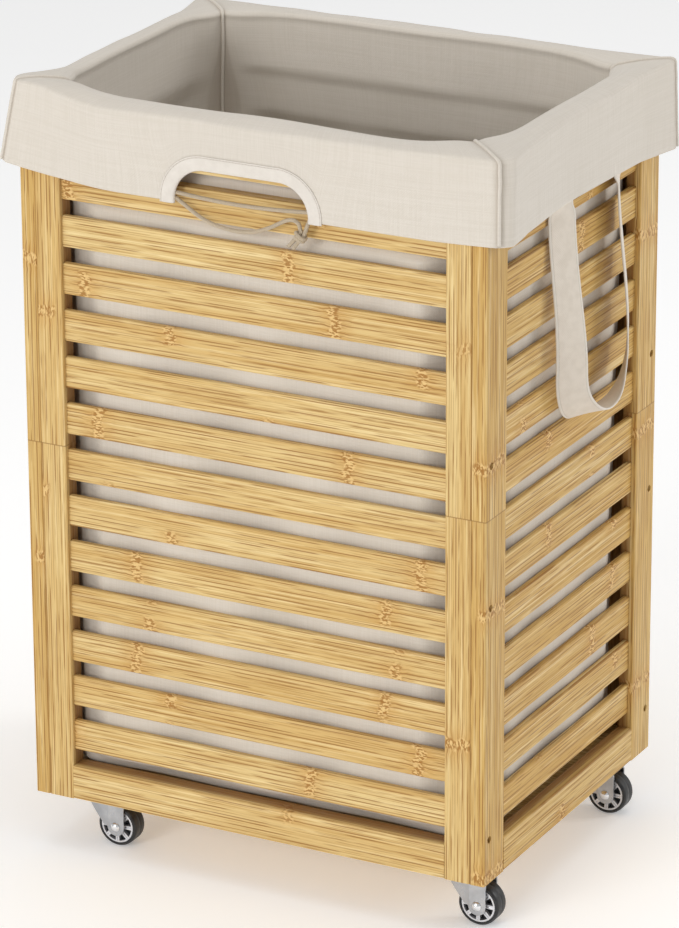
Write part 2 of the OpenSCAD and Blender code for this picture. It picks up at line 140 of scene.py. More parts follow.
def mix(tree, factor, a, b):
    """Colour a at factor 0 and colour b at factor 1."""
    return add(tree, "Mix", data_type="RGBA", Factor=factor, A=a, B=b)


def finish_material(name, **sockets):
    """A material with one Principled shader; gives the material, its tree and its shader."""
    material = bpy.data.materials.new(name)
    material.use_nodes = True
    shader = material.node_tree.nodes["Principled BSDF"]
    for key, value in sockets.items():
        shader.inputs[key.replace("_", " ")].default_value = value
    return material, material.node_tree, shader


def coat(tree, shader, colour, rough=None, height=None, strength=0.0, depth=0.0):
    """Joins a colour, a roughness and a bump's height to a shader's inputs."""
    tree.links.new(colour, shader.inputs["Base Color"])
    if rough is not None:
        tree.links.new(rough, shader.inputs["Roughness"])
    bump = add(tree, "Bump", Strength=strength, Distance=depth, Height=height)
    tree.links.new(bump, shader.inputs["Normal"])


def surface(name, points, uv=None, round_columns=False, capped=False, smooth=True):
    """Mesh of a grid of points, rows by columns, with a quad between each four neighbours.
    Its columns can close on themselves, and flat caps can close its first and last row.
    uv has one more column than points where the grid closes on itself."""
    rows, columns = points.shape[:2]
    r, c = np.meshgrid(np.arange(rows - 1), np.arange(columns - (not round_columns)), indexing="ij")
    corners_r = np.stack([r, r, r + 1, r + 1], -1).reshape(-1, 4)
    corners_c = np.stack([c, c + 1, c + 1, c], -1).reshape(-1, 4)
    faces = (corners_r % rows * columns + corners_c % columns).tolist()
    quads = len(faces)
    if capped:
        faces += [list(range(columns))[::-1], list(range((rows - 1) * columns, rows * columns))]
    mesh = bpy.data.meshes.new(name)
    mesh.from_pydata(points.reshape(-1, 3), [], faces)
    if uv is not None:
        layer = mesh.uv_layers.new(name="cloth")
        flat = np.zeros((len(mesh.loops), 2), np.float32)
        flat[:quads * 4] = uv[corners_r, corners_c].reshape(-1, 2)
        layer.data.foreach_set("uv", flat.ravel())
    mesh.polygons.foreach_set("use_smooth", np.full(len(mesh.polygons), smooth))
    mesh.update()
    piece = bpy.data.objects.new(name, mesh)
    bpy.context.collection.objects.link(piece)
    return piece


def unit(vectors):
    """The vectors, each made one long."""
    return vectors / np.linalg.norm(vectors, axis=-1, keepdims=True)


def curve_through(points, step):
    """A smooth line through the points, read at equal steps along it: each stretch is the
    cubic whose direction at a point is that from the point before to the point after."""
    p = np.vstack([2 * points[0] - points[1], points, 2 * points[-1] - points[-2]])
    t = np.linspace(0, 1, 24, endpoint=False)[:, None, None]
    a, b, c, d = p[:-3], p[1:-2], p[2:-1], p[3:]
    fine = 0.5 * (2 * b + (c - a) * t + (2 * a - 5 * b + 4 * c - d) * t**2
                  + (3 * b - a - 3 * c + d) * t**3)
    fine = np.vstack([fine.transpose(1, 0, 2).reshape(-1, 3), points[-1:]])
    along = np.concatenate([[0], np.cumsum(np.linalg.norm(np.diff(fine, axis=0), axis=1))])
    at = np.linspace(0, along[-1], max(3, round(along[-1] / step) + 1))
    return np.stack([np.interp(at, along, fine[:, k]) for k in range(3)], 1)


def tube(name, line, radius, sides=12, twist=0.0, lobes=0):
    """Round tube along a line: each ring lies across the line's direction, and is turned from
    the ring before it no more than the line bends. Lobes give it the strands of a twisted
    cord, as a ripple of its radius that turns by twist radians a metre."""
    heading = unit(np.gradient(line, axis=0))
    across = [unit(np.cross(heading[0], (0.3, 1, 0.2)))]
    for h in heading[1:]:
        across.append(unit(across[-1] - h * (across[-1] @ h)))
    across = np.array(across)
    over = np.cross(heading, across)
    along = np.concatenate([[0], np.cumsum(np.linalg.norm(np.diff(line, axis=0), axis=1))])
    angle = np.linspace(0, 2 * math.pi, sides, endpoint=False)
    r = radius * np.ones((len(line), sides))
    if lobes:
        r = r * (1 - 0.13 * np.abs(np.sin(lobes / 2 * (angle + twist * along[:, None]))) ** 3)
    points = line[:, None] + r[..., None] * (
        np.cos(angle)[:, None] * across[:, None] + np.sin(angle)[:, None] * over[:, None])
    uv = np.stack(np.broadcast_arrays(
        np.linspace(0, 2 * math.pi * radius, sides + 1), along[:, None]), -1)
    return surface(name, points, uv, round_columns=True, capped=True)


def turned_half(points):
    """The same points on the back of the hamper, half a turn round its middle."""
    return points * (-1, -1, 1)


def joined(name, parts):
    """Several pieces made into one."""
    with bpy.context.temp_override(active_object=parts[0], selected_editable_objects=parts):
        bpy.ops.object.join()
    parts[0].name = name
    return parts[0]


def paint(piece, material):
    """Gives a piece one material in place of any it has."""
    piece.data.materials.clear()
    piece.data.materials.append(material)


# Braided cotton: short slanting stitches in both directions, a little uneven in tone, with painted shade
# between the stitches.
twine, t, shader = finish_material("drawstring_cotton", Roughness=0.86, Sheen_Weight=0.25)
uv = add(t, "UVMap")
u, v, _ = (add(t, "SeparateXYZ", uv, output=k) for k in range(3))
rising = maths(t, "SINE", times(t, plus(t, u, v), 4300.0))
falling = maths(t, "SINE", times(t, minus(t, u, v), 4300.0))
braid = maths(t, "MAXIMUM", rising, falling)
place = add(t, "TexCoord", output=3)
mottle = add(t, "TexNoise", Vector=place, Scale=260.0, Detail=3.0)
# painted shade: the cord is darker in the hollows between the braid's stitches
tone = mix(t, ramp(t, braid, -0.5, 0.9), (0.36, 0.265, 0.165), (0.68, 0.56, 0.40))
tone = mix(t, ramp(t, mottle, 0.35, 0.7, 0.0, 0.7), tone, (0.62, 0.50, 0.35))
coat(t, shader, tone, height=braid, strength=0.7, depth=0.0004)


def knot(name, place_on):
    """Overhand knot of the cord's two ends: both strands go down through it side by side into
    two short tails, and one of them is wound round them in a flattened helix."""
    down = unit(np.array((-0.62, -0.10, -0.78)))
    side = unit(np.cross(down, (0, 1, 0)))
    front = np.cross(side, down)
    turns = np.linspace(0, 1, 46)
    angle = 2 * math.pi * (1.55 * turns - 0.2)
    wind = (knot_at + np.outer((turns - 0.5) * 4.0 * MM, down)
            + np.outer(4.6 * MM * np.cos(angle), side) - np.outer(3.7 * MM * np.sin(angle), front))
    lines = [wind]
    for start, lane, tail in ((draw_route[-1], -1, 14.0), (opening_right, 1, 12.5)):
        lane = lane * 1.8 * MM * side
        middle = [knot_at + lane + k * MM * down for k in (-3, 3)]
        end = knot_at + 1.15 * lane + tail * MM * down
        first = [start, (start + middle[0]) / 2 + (0, -0.6 * MM, 0)] if lane @ side > 0 else [start]
        lines.append(curve_through(np.array([*first, *middle, end]), 0.8 * MM))
    parts = [tube(f"{name}_{k}", place_on(line), 0.5 * cord_diameter, 12, 900, 3)
             for k, line in enumerate(lines)]
    return joined(name, parts)


for end, place_on in (("front", lambda p: p), ("back", turned_half)):
    tied = knot(f"{end}_cord_knot", place_on)
    own_line = place_on(curve_through(draw_route, 0.9 * MM))
    own_cord = tube(f"{end}_drawstring", own_line, cord_diameter / 2, 12, 900, 3)
    sag = MM * np.array((0, -1.4, -2.6))
    middle = (cross_left + cross_right) / 2
    quarter = 0.72 * sag
    cross_line = place_on(curve_through(np.array([
        cross_left, (cross_left + middle) / 2 + quarter, middle + sag,
        (cross_right + middle) / 2 + quarter, cross_right]), 0.9 * MM))
    crossing = tube(f"{end}_crossing_cord", cross_line, cord_diameter / 2, 12, 900, 3)
    for piece in (tied, own_cord, crossing):
        paint(piece, twine)
        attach(piece, "liner")
    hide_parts(f"{end}_knot")
    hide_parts(f"{end}_draw_cord")
    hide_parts("hem_cords")

# ---------------------------------------------------------------------------------------
# Studio: a wide pale floor, an even white surround, a large soft lamp high at the front left
# and a weaker one at the right.

floor_corners = np.array([[(-30, -30, 0), (30, -30, 0)], [(-30, 30, 0), (30, 30, 0)]], float)
floor = surface("floor", floor_corners)
floor_paint, t, shader = finish_material("floor_paint", Roughness=0.9)
grey = add(t, "TexNoise", Vector=add(t, "TexCoord", output=3), Scale=3.0)
t.links.new(mix(t, grey, (0.94, 0.94, 0.938), (0.96, 0.96, 0.958)), shader.inputs["Base Color"])
shader.inputs["Emission Color"].default_value = (1, 1, 1, 1)
shader.inputs["Emission Strength"].default_value = 0.24
floor.data.materials.append(floor_paint)

world = bpy.data.worlds.new("surround")
world.use_nodes = True
world.node_tree.nodes["Background"].inputs["Color"].default_value = (1, 1, 1, 1)
world.node_tree.nodes["Background"].inputs["Strength"].default_value = 0.5
bpy.context.scene.world = world
bpy.context.scene.view_settings.view_transform = "Standard"


def lamp(name, place, watts, width):
    """Square soft lamp that faces the middle of the hamper."""
    light = bpy.data.lights.new(name, "AREA")
    light.energy, light.size = watts, width
    holder = bpy.data.objects.new(name, light)
    bpy.context.collection.objects.link(holder)
    holder.location = place
    toward = Vector((0, 0, 0.35)) - Vector(place)
    holder.rotation_euler = toward.to_track_quat("-Z", "Y").to_euler()


lamp("key_lamp", (-0.9, -4.3, 1.75), 70, 1.8)
lamp("side_lamp", (3.1, 2.3, 1.9), 34, 1.2)
lamp("top_lamp", (0.2, -0.2, 3.6), 26, 2.4)

# ---------------------------------------------------------------------------------------
# Bamboo frame. Every bar is sawn from laminated bamboo: fine brown fibres run along it, each
# bar has its own tone, and here and there a knuckle crosses it as a band of short flecks.

slat_pitch = 42.1 * MM
first_slat_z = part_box("front_slats")[0].z
post_joint_z = 0.382                     # height at which two lengths of a post meet
knuckle_cell = 0.24                      # length of strip that holds one knuckle
X, Y, Z = 0, 1, 2


def bamboo(name, along, seed, pitch=0.0, gloss=0.42, deep_shade=0.0, joint=0.0, inner_shade=None):
    """Bamboo with its grain along one axis. Noise drawn out along the grain and cut off high
    gives the fibres; a cell along the grain holds one knuckle, at a random place in it; with
    a pitch, each slat up the panel draws its own random numbers. Deep makes it darker and
    warmer as painted shade, and a joint is the height at which two lengths of a post meet end
    to end. Inner gives the panel's axis and its outer face: wood behind that face is painted
    darker and redder as painted shade in the recesses."""
    material, t, shader = finish_material(name, Specular_IOR_Level=0.22, Coat_Weight=0.05,
                                          Coat_Roughness=0.3)
    place = add(t, "TexCoord", output=3)
    xyz = [add(t, "SeparateXYZ", place, output=k) for k in range(3)]
    length = xyz[along]
    a, b = (xyz[k] for k in range(3) if k != along)
    number = seed * 7.13
    if pitch:
        risen = minus(t, xyz[Z], first_slat_z - 0.004)
        slat = maths(t, "FLOOR", maths(t, "DIVIDE", risen, pitch))
        number = plus(t, times(t, slat, 3.37), number)
    if joint:
        number = plus(t, maths(t, "GREATER_THAN", xyz[Z], joint), number)
    drawn = add(t, "TexWhiteNoise", number, noise_dimensions="1D", output=1)
    r1, r2, r3 = (add(t, "SeparateColor", drawn, output=k) for k in range(3))
    length = plus(t, length, times(t, r1, 9.0))
    a = plus(t, a, times(t, r2, 4.0))

    # One knuckle in each cell of the strip, with a ragged edge
    cell = maths(t, "DIVIDE", length, knuckle_cell)
    in_cell = minus(t, maths(t, "FRACT", cell), 0.5)
    away = times(t, in_cell, knuckle_cell)
    strip = add(t, "CombineXYZ", times(t, a, 110.0), times(t, b, 110.0), maths(t, "FLOOR", cell))
    ragged = add(t, "TexNoise", Vector=strip, Scale=1.0, Detail=1.0)
    away = plus(t, away, times(t, minus(t, ragged, 0.5), 0.016))
    distance = absolute(t, away)
    patchy = ramp(t, add(t, "TexNoise", Vector=strip, Scale=0.33, Detail=0.0), 0.36, 0.46)
    knuckle = times(t, ramp(t, distance, 0.0035, 0.0065, 1.0, 0.0), patchy)
    halo = times(t, ramp(t, distance, 0.003, 0.024, 1.0, 0.0), patchy)

    # Fibres bend a little as they pass a knuckle
    at = add(t, "CombineXYZ", times(t, length, 90.0), times(t, a, 110.0), times(t, b, 110.0))
    wander = add(t, "TexNoise", Vector=at, Scale=1.0, Detail=1.0)
    bend = times(t, minus(t, wander, 0.5), times(t, halo, 0.004))
    a = plus(t, a, bend)

    def fibres(stretch, fineness, detail, offset):
        at = add(t, "CombineXYZ", times(t, length, stretch), times(t, a, fineness),
                 times(t, b, fineness))
        at = add(t, "VectorMath", at, (offset, offset, offset), operation="ADD")
        return add(t, "TexNoise", Vector=at, Scale=1.0, Detail=detail, Roughness=0.6)

    def strands(width, thickness, run, offset):
        """Thin lines: one to each width across the strip, at a random place in it, broken up
        along their length."""
        cell = maths(t, "DIVIDE", plus(t, plus(t, a, b), offset), width)
        lane = maths(t, "FLOOR", cell)
        at = add(t, "TexWhiteNoise", lane, noise_dimensions="1D")
        off = absolute(t, minus(t, maths(t, "FRACT", cell), plus(t, times(t, at, 0.5), 0.25)))
        line = ramp(t, off, 0.3 * thickness / width, 0.75 * thickness / width, 1.0, 0.0)
        along_it = add(t, "CombineXYZ", times(t, length, run), times(t, lane, 5.3), offset)
        broken = add(t, "TexNoise", Vector=along_it, Scale=1.0, Detail=2.0)
        return times(t, line, ramp(t, broken, 0.42, 0.56))

    broad = fibres(3.0, 60.0, 2.0, 3.0)
    coarse = fibres(6.0, 380.0, 2.0, 11.0)
    fine = fibres(14.0, 1500.0, 1.0, 29.0)
    flecks = fibres(230.0, 640.0, 1.0, 51.0)
    bold = strands(3.9 * MM, 1.0 * MM, 16.0, 1.0)
    thin = strands(2.1 * MM, 0.75 * MM, 22.0, 2.0)

    colour = mix(t, ramp(t, broad, 0.35, 0.65), (0.70, 0.48, 0.185), (0.78, 0.59, 0.27))
    colour = mix(t, ramp(t, r3, 0.0, 1.0, 0.0, 0.45), colour, (0.66, 0.43, 0.155))
    # painted shade: darker and warmer wood, given to the left and right panels
    colour = mix(t, deep_shade, colour, (0.52, 0.27, 0.025))
    colour = mix(t, ramp(t, coarse, 0.48, 0.34, 0.0, 0.5), colour, (0.90, 0.72, 0.38))
    colour = mix(t, ramp(t, coarse, 0.52, 0.68, 0.0, 0.45), colour, (0.52, 0.30, 0.085))
    colour = mix(t, times(t, halo, 0.4), colour, (0.60, 0.31, 0.075))
    colour = mix(t, ramp(t, fine, 0.50, 0.62, 0.0, 0.3), colour, (0.46, 0.26, 0.07))
    colour = mix(t, times(t, thin, 0.5), colour, (0.40, 0.20, 0.045))
    colour = mix(t, times(t, bold, 0.75), colour, (0.30, 0.13, 0.025))
    fleck_tone = mix(t, ramp(t, flecks, 0.44, 0.56), (0.36, 0.16, 0.03), (0.80, 0.55, 0.23))
    colour = mix(t, times(t, knuckle, 0.8), colour, fleck_tone)
    # painted shade: wood behind the panel's outer face, in its recesses, is painted darker and redder
    if inner_shade:
        axis, face = inner_shade
        sunk = ramp(t, absolute(t, xyz[axis]), face - 8 * MM, face - 3 * MM, 0.72, 0.0)
        if axis == X:
            on_edge = ramp(t, absolute(t, xyz[Y]), 0.165, 0.1675, 1.0, 0.0)
            sunk = times(t, sunk, on_edge)
        colour = mix(t, sunk, colour, (0.27, 0.105, 0.025))
    if joint:
        off = absolute(t, minus(t, xyz[Z], joint))
        colour = mix(t, ramp(t, off, 0.0002, 0.0008, 0.7, 0.0), colour, (0.30, 0.15, 0.04))
    height = minus(t, times(t, knuckle, flecks), times(t, bold, 0.6))
    height = minus(t, height, times(t, fine, 0.35))
    coat(t, shader, colour, ramp(t, coarse, 0.3, 0.7, gloss - 0.06, gloss + 0.16), height, 0.35, 0.0005)
    return material


def clothe(node, material):
    """Gives a CAD node its finish."""
    paint(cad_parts[node], material)


seed = 1
for panel, across in (("left", Y), ("right", Y), ("front", X), ("back", X)):
    stiles = ("front", "back") if across == Y else ("left", "right")
    bars = [(f"{panel}_{s}_stile", Z) for s in stiles]
    bars += [(f"{panel}_top_rail", across), (f"{panel}_bottom_rail", across)]
    # each panel's axis and outer face; the wood behind that face gets painted shade
    inner_shade = (Y, 0.168) if across == X else (X, 0.220)
    for bar, along in bars:
        # the left and right panels get painted shade: their bamboo is painted darker and warmer
        wood = bamboo(f"bamboo_{bar}", along, seed, deep_shade=0.34 * (across == Y),
                      joint=post_joint_z * (along == Z), inner_shade=inner_shade)
        clothe(bar, wood)
        seed += 1
    wood = bamboo(f"bamboo_{panel}_slats", across, seed, slat_pitch, deep_shade=0.42 * (across == Y))
    clothe(f"{panel}_slats", wood)
    seed += 1
clothe("grip_slats", bamboo("bamboo_grip_slats", X, 31))
clothe("base_battens", bamboo("bamboo_base_battens", X, 32))
clothe("base_board", bamboo("bamboo_base_board", X, 33, gloss=0.5))

# ---------------------------------------------------------------------------------------
# Screws and bolts. Zinc-plated steel, bright on the heads, with fine turning marks and a
# little dulling; the long frame screws sit deep in their holes, and their steel is painted
# nearly black as painted shade.


def steel(name, colour, dull, rough):
    """Plated steel: mottled between a bright and a dull tone, with short fine scratches."""
    material, t, shader = finish_material(name, Metallic=1.0)
    place = add(t, "TexCoord", output=3)
    cloud = add(t, "TexNoise", Vector=place, Scale=55.0, Detail=4.0)
    stretched = add(t, "VectorMath", place, (2600.0, 2600.0, 300.0), operation="MULTIPLY")
    scratch = add(t, "TexNoise", Vector=stretched, Scale=1.0, Detail=2.0)
    marks = plus(t, cloud, times(t, scratch, 0.4))
    coat(t, shader, mix(t, ramp(t, cloud, 0.35, 0.7), colour, dull),
         ramp(t, marks, 0.5, 1.0, rough, rough + 0.2), scratch, 0.12, 0.0002)
    return material


# painted shade: the frame screws get nearly black steel for their deep holes
clothe("panel_screws", steel("frame_screw_painted_shade_steel", (0.10, 0.09, 0.085), (0.05, 0.045, 0.04), 0.4))
plate_steel = steel("plate_steel", (0.72, 0.73, 0.75), (0.55, 0.56, 0.58), 0.3)
clothe("caster_plates", plate_steel)
clothe("caster_screws", steel("caster_screw_steel", (0.78, 0.76, 0.70), (0.60, 0.58, 0.52), 0.28))

# ---------------------------------------------------------------------------------------
# Casters. A pressed zinc fork hangs from the ball race: its crown is a shallow cup, and each
# leg is bent along a ridge, so that its front part wraps towards the wheel.

fork_steel = steel("fork_steel", (0.52, 0.53, 0.55), (0.42, 0.43, 0.45), 0.26)
bolt_steel = steel("bolt_steel", (0.86, 0.87, 0.89), (0.72, 0.73, 0.75), 0.16)
trail, axle_z, crown_z = 22 * MM, 19 * MM, 42.3 * MM
leg_y, ridge_x, leg_rear = 10.2 * MM, 15.5 * MM, 30.5 * MM


def smooth(value, low, high):
    """0 below low, 1 above high and a smooth rise between."""
    s = np.clip((value - low) / (high - low), 0, 1)
    return s * s * (3 - 2 * s)


def lathe(name, profile, sides, centre, axis="z"):
    """A profile of (radius, height) points turned round an axis through the centre."""
    angle = np.linspace(0, 2 * math.pi, sides, endpoint=False)
    r, h = np.array(profile).T[:, :, None]
    ring = [r * np.cos(angle), r * np.sin(angle), h + 0 * angle]
    if axis == "y":
        ring = [ring[0], -ring[2], ring[1]]
    return surface(name, np.stack(ring, -1) + np.array(centre), round_columns=True)


def fork_leg(name, side, corner):
    """One leg as a bent sheet. Down the leg its front edge runs back from the crown towards the
    axle and its foot is round the axle; forward of the ridge it leans in towards the wheel."""
    rows, columns = 34, 26
    down = np.linspace(0, 1, rows)[:, None]
    over = np.linspace(0, 1, columns)[None, :]
    top_z, foot_z = 43.8 * MM, axle_z - 8.5 * MM
    z = top_z + (foot_z - top_z) * down + 0 * over
    below = np.clip((axle_z - z) / (8.5 * MM), 0, 1)
    round_foot = np.sqrt(np.clip(1 - below**2, 0, 1))
    front = (-9.5 + 24.5 * smooth(down, 0.02, 1.05) ** 0.9) * MM
    front = np.where(z < axle_z, trail - (trail - 14.2 * MM) * round_foot, np.minimum(front, 14.2 * MM))
    rear = np.where(z < axle_z, trail + 8.5 * MM * round_foot, (14 * MM + (leg_rear - 14 * MM)
                    * smooth(down, -0.02, 0.14)))
    x = front + (rear - front) * over
    lean = np.clip(ridge_x - x, 0, None)
    y = leg_y + 0.8 * MM - 0.16 * lean - 6 * lean**2
    ridge = 0.5 * MM * np.exp(-((x - ridge_x) / (0.9 * MM)) ** 2)
    y = y + ridge * smooth(z, axle_z - 4 * MM, axle_z + 6 * MM)
    y = y - 0.9 * MM * smooth(z, crown_z - 1 * MM, top_z)
    points = np.stack([x, side * y, z + 0 * x], -1) + corner
    if side < 0:
        points = points[:, ::-1]
    leg = surface(name, points[::-1])
    solid = leg.modifiers.new("sheet", "SOLIDIFY")
    solid.thickness, solid.offset = 1.5 * MM, 0
    soften = leg.modifiers.new("edge", "BEVEL")
    soften.width, soften.segments, soften.limit_method = 0.3 * MM, 2, "ANGLE"
    return leg


def fork(corner_name, corner):
    """Both legs and the crown's cup, joined into one piece."""
    legs = [fork_leg(f"{corner_name}_leg_{side}", side, corner) for side in (-1, 1)]
    cup = MM * np.array([(4.2, 0), (12.4, 0), (13.6, 0.3), (14.3, 1.1), (14.6, 2.2), (14.6, 6.6),
                         (14.3, 7.0), (13.4, 7.0), (13.0, 6.6), (13.0, 2.4), (12.4, 1.9), (4.2, 1.9)])
    crown = lathe(f"{corner_name}_crown", np.vstack([cup, cup[:1]]), 64, corner + (0, 0, crown_z))
    parts = [crown] + legs
    graph = bpy.context.evaluated_depsgraph_get()
    meshes = [bpy.data.meshes.new_from_object(part.evaluated_get(graph)) for part in parts]
    for part, mesh in zip(parts, meshes):
        part.modifiers.clear()
        part.data = mesh
    return joined(f"{corner_name}_pressed_fork", parts)


# ---- Wheels. A grey hub with a bright rim, a boss and eight ribbed spokes is moulded with
# windows sunk between the spokes, whose floors are painted nearly black as painted shade so
# that they look open, and a black rubber tyre with rounded shoulders is pushed over it.

hub_paint, t, shader = finish_material("hub_paint", Metallic=0.55, Coat_Weight=0.3, Coat_Roughness=0.2)
deep_shade = add(t, "Attribute", attribute_name="depth", output=2)
place = add(t, "TexCoord", output=3)
dust = add(t, "TexNoise", Vector=place, Scale=420.0, Detail=3.0)
tone = mix(t, ramp(t, dust, 0.35, 0.7), (0.80, 0.80, 0.82), (0.66, 0.66, 0.69))
# painted shade: the floors of the sunk windows are painted nearly black
tone = mix(t, deep_shade, tone, (0.045, 0.045, 0.05))
coat(t, shader, tone, ramp(t, dust, 0.3, 0.7, 0.24, 0.42), dust, 0.1, 0.0002)

rubber, t, shader = finish_material("tyre_rubber", IOR=1.5)
place = add(t, "TexCoord", output=3)
grime = add(t, "TexNoise", Vector=place, Scale=180.0, Detail=5.0)
tone = mix(t, ramp(t, grime, 0.4, 0.75), (0.012, 0.012, 0.013), (0.04, 0.039, 0.038))
coat(t, shader, tone, ramp(t, grime, 0.3, 0.7, 0.32, 0.58), grime, 0.15, 0.0003)

spokes = 8


def hub_face(name, side, centre):
    """One face of the hub as a grid of circles by rays. The rays run along the edges of the
    spokes, whose width stays the same all the way out, and points that share a place but not
    a depth make the upright walls of the windows and of the groove down each spoke."""
    radii = np.array([2.6, 3.0, 5.6, 5.9, 7.0, 7.0, 14.2, 14.2, 15.6, 16.0, 16.0]) * MM
    level = np.array([8.9, 9.3, 9.3, 8.6, 8.2, 8.2, 8.2, 8.2, 8.2, 7.9, 0.0]) * MM
    window_row = np.array([0, 0, 0, 0, 0, 1, 1, 0, 0, 0, 0])
    groove, edge = 0.45 * MM, 1.75 * MM
    half = math.pi / spokes
    r = radii[:, None]
    steps = [0 * r, np.arcsin(groove / r), np.arcsin(groove / r)]
    steps += [np.arcsin(edge / np.maximum(r, 7 * MM))] * 2
    steps += [steps[-1] + (half - steps[-1]) * k for k in (1 / 3, 2 / 3, 1)]
    angle = np.hstack(steps)
    window_column = np.array([0, 0, 0, 0, 1, 1, 1, 1])
    groove_column = np.array([1, 1, 0, 0, 0, 0, 0, 0])
    deep_shade = window_row[:, None] * window_column
    height = level[:, None] - 4.6 * MM * deep_shade - 0.7 * MM * window_row[:, None] * groove_column
    angle = np.hstack([-angle[:, :0:-1], angle[:, :-1]])
    height = np.hstack([height[:, :0:-1], height[:, :-1]])
    deep_shade = np.hstack([deep_shade[:, :0:-1], deep_shade[:, :-1]])
    around = np.hstack([angle + 2 * half * k for k in range(spokes)])
    height, deep_shade = np.tile(height, spokes), np.tile(deep_shade, spokes)
    points = np.stack([r * np.cos(around), -side * height, r * np.sin(around)], -1) + centre
    face = surface(name, points if side > 0 else points[:, ::-1], round_columns=True, smooth=False)
    # the sunk windows are kept as an attribute, which the hub paint turns into painted shade
    depth = face.data.attributes.new("depth", "FLOAT", "POINT")
    depth.data.foreach_set("value", (deep_shade if side > 0 else deep_shade[:, ::-1]).astype(np.float32).ravel())
    return face


def wheel(corner_name, centre):
    """Hub of two faces round a bore, and a tyre turned from its section."""
    faces = [hub_face(f"{corner_name}_face_{side}", side, centre) for side in (-1, 1)]
    bore = lathe(f"{corner_name}_bore", MM * np.array([(2.6, 8.9), (2.6, -8.9)]), 48, centre, "y")
    flat = bore.data.attributes.new("depth", "FLOAT", "POINT")
    flat.data.foreach_set("value", np.zeros(len(bore.data.vertices), np.float32))
    hub = joined(f"{corner_name}_spoked_hub", faces + [bore])
    shoulder = np.linspace(0, math.pi / 2, 7)
    half_section = [(16, 0), (16, 8.2), (16.5, 8.9)]
    half_section += [(16.2 + 2.75 * math.sin(a), 6.2 + 2.75 * math.cos(a)) for a in shoulder]
    half_section += [(18.98, 3.4), (19, 0.4), (18.9, 0.15), (18.9, 0)]
    section = np.array(half_section + [(r, -h) for r, h in half_section[-2:0:-1]] + [half_section[0]])
    tyre = lathe(f"{corner_name}_rubber_tyre", MM * section[::-1], 96, centre, "y")
    return hub, tyre


for corner_name in ("front_left", "front_right", "back_left", "back_right"):
    axle_x = sum(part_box(f"{corner_name}_axle_bolt"), Vector()).x / 2
    hub_y = sum(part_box(f"{corner_name}_hub"), Vector()).y / 2
    corner = np.array((axle_x - trail, hub_y, 0))
    pressed = fork(corner_name, corner)
    hub, tyre = wheel(corner_name, corner + (trail, 0, axle_z))
    for piece, material, body, node, slot in (
            (pressed, fork_steel, "caster", "fork", "caster_steel"),
            (hub, hub_paint, "wheel", "hub", "wheel_hub"), (tyre, rubber, "wheel", "tyre", "wheel_tyre")):
        paint(piece, material)
        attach(piece, f"{corner_name}_{body}")
        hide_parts(f"{corner_name}_{node}")
    clothe(f"{corner_name}_axle_bolt", bolt_steel)

# ---------------------------------------------------------------------------------------
# Liner. One strip of cotton canvas makes the bag's walls, turns over the wooden rim and hangs
# outside as a cuff, whose hem is turned up into a tunnel. A flat piece is sewn in as its floor.


def canvas(name, colour, shade, thread=1.05 * MM):
    """Plain-woven cotton: each thread goes over one and under the next, so a cell of the weave
    shows a warp or a weft thread by turns, and threads differ a little in tone and weight."""
    material, t, shader = finish_material(name, Roughness=0.93, Sheen_Weight=0.2, Sheen_Roughness=0.5)
    uv = add(t, "UVMap")
    u, v = (maths(t, "DIVIDE", add(t, "SeparateXYZ", uv, output=k), thread) for k in range(2))
    number_u, number_v = maths(t, "FLOOR", u), maths(t, "FLOOR", v)
    over = maths(t, "MODULO", absolute(t, plus(t, number_u, number_v)), 2.0)
    round_u, round_v = (absolute(t, maths(t, "SINE", times(t, w, math.pi))) for w in (u, v))
    weave = plus(t, times(t, round_u, over), times(t, round_v, minus(t, 1.0, over)))
    warp = add(t, "TexNoise", Vector=add(t, "CombineXYZ", number_u, times(t, v, 0.02), 0.0),
               Scale=0.9, Detail=1.0)
    weft = add(t, "TexNoise", Vector=add(t, "CombineXYZ", times(t, u, 0.02), number_v, 7.0),
               Scale=0.9, Detail=1.0)
    slub = times(t, plus(t, warp, weft), 0.5)
    place = add(t, "TexCoord", output=3)
    cloud = add(t, "TexNoise", Vector=place, Scale=9.0, Detail=3.0)
    tone = mix(t, ramp(t, slub, 0.36, 0.64), colour, shade)
    tone = mix(t, ramp(t, cloud, 0.35, 0.75, 0.0, 0.35), tone, shade)
    # painted shade: the cloth is darkened between the threads of the weave
    tone = mix(t, ramp(t, weave, 0.0, 0.5, 0.22, 0.0), tone, tuple(0.72 * c for c in shade))
    # painted shadow: a thin brown line along each corner seam
    seam_shadow = add(t, "Attribute", attribute_name="seam_shadow", output=2)
    tone = mix(t, times(t, seam_shadow, 0.5), tone, (0.33, 0.26, 0.19))
    height = plus(t, weave, times(t, slub, 0.8))
    coat(t, shader, tone, height=height, strength=0.32, depth=0.0004)
    return material


def make_cloth(piece):
    """Gives a skin the canvas's thickness, half of it to each side."""
    solid = piece.modifiers.new("cloth", "SOLIDIFY")
    solid.thickness, solid.offset = 1.0 * MM, 0


liner_canvas = canvas("liner_canvas", (0.735, 0.675, 0.595), (0.69, 0.63, 0.545))
frame_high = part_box("right_back_stile")[1]
half_w, half_d, rim_z = frame_high.x, frame_high.y, frame_high.z
side_t, front_t = 14 * MM, 19 * MM
cuff_out = 6 * MM
hem_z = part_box("cuff_front")[0].z
liner_floor_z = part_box("liner_bottom")[0].z
hem_turn = 2.3 * MM                      # radius of the turn at the hem's lower edge
corner_r = 4 * MM
corner_signs = np.array([(-1, -1), (1, -1), (1, 1), (-1, 1)])


